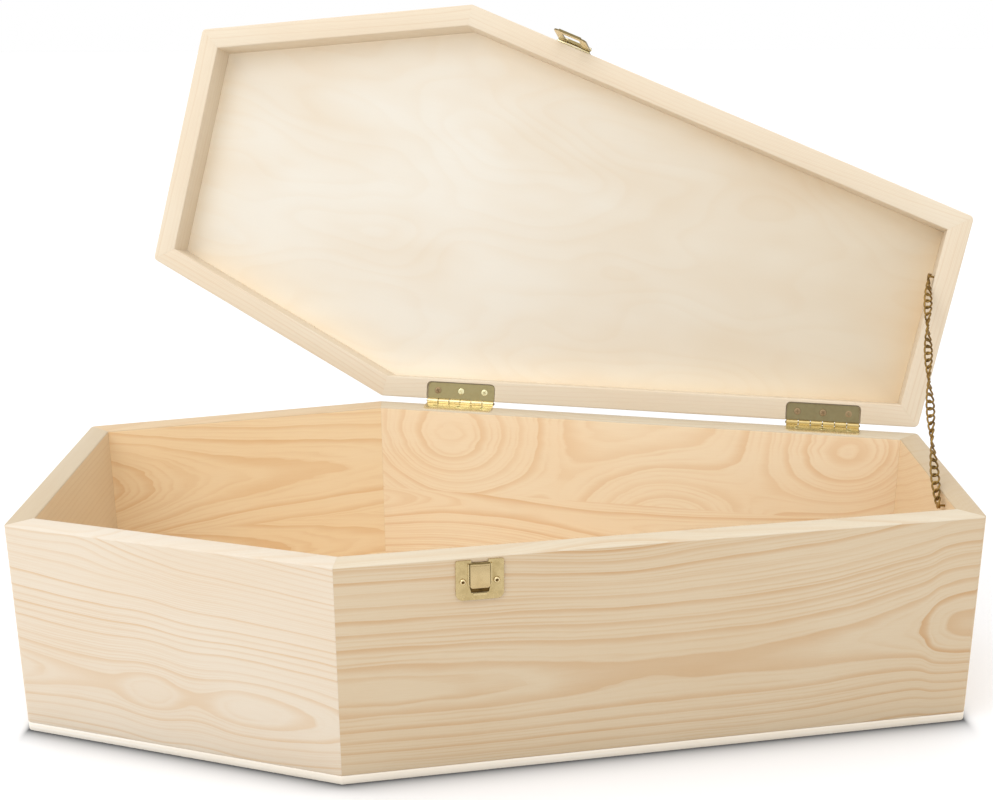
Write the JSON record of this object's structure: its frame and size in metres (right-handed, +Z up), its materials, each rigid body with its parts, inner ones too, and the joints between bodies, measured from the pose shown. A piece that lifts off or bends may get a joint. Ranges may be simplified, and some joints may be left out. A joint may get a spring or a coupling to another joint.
{
  "type": "wooden coffin box",
  "caption": "Small pine coffin-shaped box with tapering walls, thin plywood base, framed lid on brass hinges held back by a chain, and a swinging hasp catch on the front.",
  "frame": {"origin": "on the underside, on the middle line and halfway along the length of the box", "axes": "+X from the head to the foot, +Y towards the hinged side, +Z up; the lid is open at rest, as pictured"},
  "size_m": [0.6201, 0.4199, 0.4196],
  "materials": {
    "wall_pine": "bare sanded pine, matt",
    "rail_pine": "bare sanded pine, matt, a little paler",
    "plywood": "bare sanded birch plywood, matt",
    "brass": "thin plated sheet, satin to polished",
    "aged_brass": "antiqued brown, rubbed bright on the high spots"
  },
  "bodies": {
    "base": {"box_bottom": "plywood", "box_front_head_side": "wall_pine", "box_front_long_side": "wall_pine", "box_foot_end": "wall_pine", "box_back_long_side": "wall_pine", "box_back_head_side": "wall_pine", "box_head_end": "wall_pine", "hinge_head_box_leaf": "brass", "hinge_head_pin": "brass", "hinge_head_box_screw_1": "brass", "hinge_head_box_screw_2": "brass", "hinge_head_box_screw_3": "brass", "hinge_foot_box_leaf": "brass", "hinge_foot_pin": "brass", "hinge_foot_box_screw_1": "brass", "hinge_foot_box_screw_2": "brass", "hinge_foot_box_screw_3": "brass", "catch_box_plate": "brass", "catch_tongue": "brass", "catch_box_nail_1": "brass", "catch_box_nail_2": "brass", "chain_box_tack": "aged_brass", "chain": "aged_brass"},
    "lid": {"lid_panel": "plywood", "lid_front_head_side": "rail_pine", "lid_front_long_side": "rail_pine", "lid_foot_end": "rail_pine", "lid_back_long_side": "rail_pine", "lid_back_head_side": "rail_pine", "lid_head_end": "rail_pine", "hinge_head_lid_leaf": "brass", "hinge_head_lid_screw_1": "brass", "hinge_head_lid_screw_2": "brass", "hinge_head_lid_screw_3": "brass", "hinge_foot_lid_leaf": "brass", "hinge_foot_lid_screw_1": "brass", "hinge_foot_lid_screw_2": "brass", "hinge_foot_lid_screw_3": "brass", "catch_lid_plate": "brass", "catch_hasp_pin": "brass", "catch_lid_nail_1": "brass", "catch_lid_nail_2": "brass", "chain_lid_tack": "aged_brass"},
    "hasp": {"catch_hasp": "brass"}
  },
  "joints": [
    {"name": "lid_hinge", "type": "hinge", "parent": "base", "child": "lid", "pos_m": [-0.0887, 0.14857, 0.139], "axis": [0.9822, -0.1879, 0], "range_deg": [0, 105], "deforming": ["chain"]},
    {"name": "hasp_hinge", "type": "hinge", "parent": "lid", "child": "hasp", "pos_m": [0.05409, 0.19196, 0.39275], "axis": [-0.8949, 0.2684, 0.3565], "range_deg": [-2, 160]}
  ]
}
